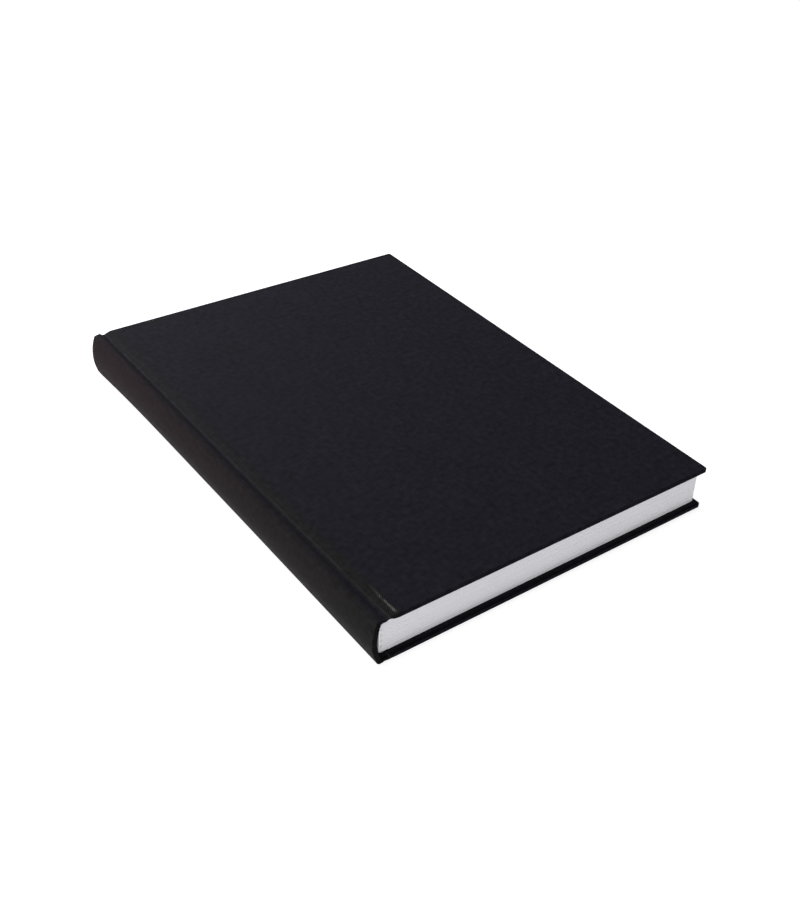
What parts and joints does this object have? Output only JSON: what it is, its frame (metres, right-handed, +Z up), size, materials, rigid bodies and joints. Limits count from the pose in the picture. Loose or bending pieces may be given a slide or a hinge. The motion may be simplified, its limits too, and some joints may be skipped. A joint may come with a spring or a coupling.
{
  "type": "hardback sketchbook",
  "caption": "Closed case-bound sketchbook in black book cloth with a grooved hinge, covers that open, and folded sections of heavy white paper.",
  "frame": {"origin": "middle of the footprint, at the outer face of the back cover", "axes": "+X from the spine to the fore-edge, +Y from the tail to the head, +Z up through the closed book to the front cover"},
  "size_m": [0.1562, 0.2156, 0.0191],
  "materials": {
    "book_cloth": "woven black book cloth, matt",
    "greyboard": "matt",
    "watercolour_paper": "fine-grain cold-pressed",
    "endpaper": "smooth",
    "mull": "open weave",
    "thread": "waxed",
    "glue": "dried",
    "lining_paper": "matt"
  },
  "bodies": {
    "text_block": {"spine_panel": "greyboard", "spine_cloth": "book_cloth", "front_groove_cloth": "book_cloth", "back_groove_cloth": "book_cloth", "front_endpaper_hinge": "endpaper", "back_endpaper_hinge": "endpaper", "sewing_thread": "thread", "spine_glue": "glue", "spine_mull": "mull", "spine_lining_paper": "lining_paper"},
    "front_cover": {"front_board": "greyboard", "front_cover_cloth": "book_cloth", "front_pastedown": "endpaper", "front_mull_flap": "mull"},
    "back_cover": {"back_board": "greyboard", "back_cover_cloth": "book_cloth", "back_pastedown": "endpaper", "back_mull_flap": "mull"},
    "front_flyleaf_body": {"front_flyleaf": "endpaper"},
    "back_flyleaf_body": {"back_flyleaf": "endpaper"},
    "section_1": {"section_1_folio_1": "watercolour_paper", "section_1_folio_2": "watercolour_paper", "section_1_folio_3": "watercolour_paper", "section_1_folio_4": "watercolour_paper"},
    "section_2": {"section_2_folio_1": "watercolour_paper", "section_2_folio_2": "watercolour_paper", "section_2_folio_3": "watercolour_paper", "section_2_folio_4": "watercolour_paper"},
    "section_3": {"section_3_folio_1": "watercolour_paper", "section_3_folio_2": "watercolour_paper", "section_3_folio_3": "watercolour_paper", "section_3_folio_4": "watercolour_paper"},
    "section_4": {"section_4_folio_1": "watercolour_paper", "section_4_folio_2": "watercolour_paper", "section_4_folio_3": "watercolour_paper", "section_4_folio_4": "watercolour_paper"},
    "section_5": {"section_5_folio_1": "watercolour_paper", "section_5_folio_2": "watercolour_paper", "section_5_folio_3": "watercolour_paper", "section_5_folio_4": "watercolour_paper"},
    "section_6": {"section_6_folio_1": "watercolour_paper", "section_6_folio_2": "watercolour_paper", "section_6_folio_3": "watercolour_paper", "section_6_folio_4": "watercolour_paper"}
  },
  "joints": [
    {"name": "front_cover_open", "type": "hinge", "parent": "text_block", "child": "front_cover", "pos_m": [-0.0732, 0, 0.0181], "axis": [0, -1, 0], "range_deg": [0, 178], "deforming": ["front_groove_cloth", "front_endpaper_hinge"]},
    {"name": "back_cover_open", "type": "hinge", "parent": "text_block", "child": "back_cover", "pos_m": [-0.0732, 0, 0.001], "axis": [0, 1, 0], "range_deg": [0, 178], "deforming": ["back_groove_cloth", "back_endpaper_hinge"]},
    {"name": "front_flyleaf_turn", "type": "hinge", "parent": "text_block", "child": "front_flyleaf_body", "pos_m": [-0.0732, 0, 0.0181], "axis": [0, -1, 0], "range_deg": [0, 172]},
    {"name": "section_1_turn", "type": "hinge", "parent": "text_block", "child": "section_1", "pos_m": [-0.0732, 0, 0.0181], "axis": [0, -1, 0], "range_deg": [0, 148]},
    {"name": "section_2_turn", "type": "hinge", "parent": "text_block", "child": "section_2", "pos_m": [-0.0732, 0, 0.01442], "axis": [0, -1, 0], "range_deg": [0, 73]},
    {"name": "section_3_turn", "type": "hinge", "parent": "text_block", "child": "section_3", "pos_m": [-0.0732, 0, 0.01199], "axis": [0, -1, 0], "range_deg": [0, 35]},
    {"name": "back_flyleaf_turn", "type": "hinge", "parent": "text_block", "child": "back_flyleaf_body", "pos_m": [-0.0732, 0, 0.001], "axis": [0, 1, 0], "range_deg": [0, 172]},
    {"name": "section_6_turn", "type": "hinge", "parent": "text_block", "child": "section_6", "pos_m": [-0.0732, 0, 0.001], "axis": [0, 1, 0], "range_deg": [0, 148]},
    {"name": "section_5_turn", "type": "hinge", "parent": "text_block", "child": "section_5", "pos_m": [-0.0732, 0, 0.00468], "axis": [0, 1, 0], "range_deg": [0, 73]},
    {"name": "section_4_turn", "type": "hinge", "parent": "text_block", "child": "section_4", "pos_m": [-0.0732, 0, 0.00711], "axis": [0, 1, 0], "range_deg": [0, 35]}
  ],
  "couplings": [
    {"joint": "front_flyleaf_turn", "follows": "front_cover_open", "ratio": 0.95},
    {"joint": "section_1_turn", "follows": "front_cover_open", "ratio": 0.82},
    {"joint": "section_2_turn", "follows": "front_cover_open", "ratio": 0.4},
    {"joint": "section_3_turn", "follows": "front_cover_open", "ratio": 0.19},
    {"joint": "back_flyleaf_turn", "follows": "back_cover_open", "ratio": 0.95},
    {"joint": "section_6_turn", "follows": "back_cover_open", "ratio": 0.82},
    {"joint": "section_5_turn", "follows": "back_cover_open", "ratio": 0.4},
    {"joint": "section_4_turn", "follows": "back_cover_open", "ratio": 0.19}
  ]
}
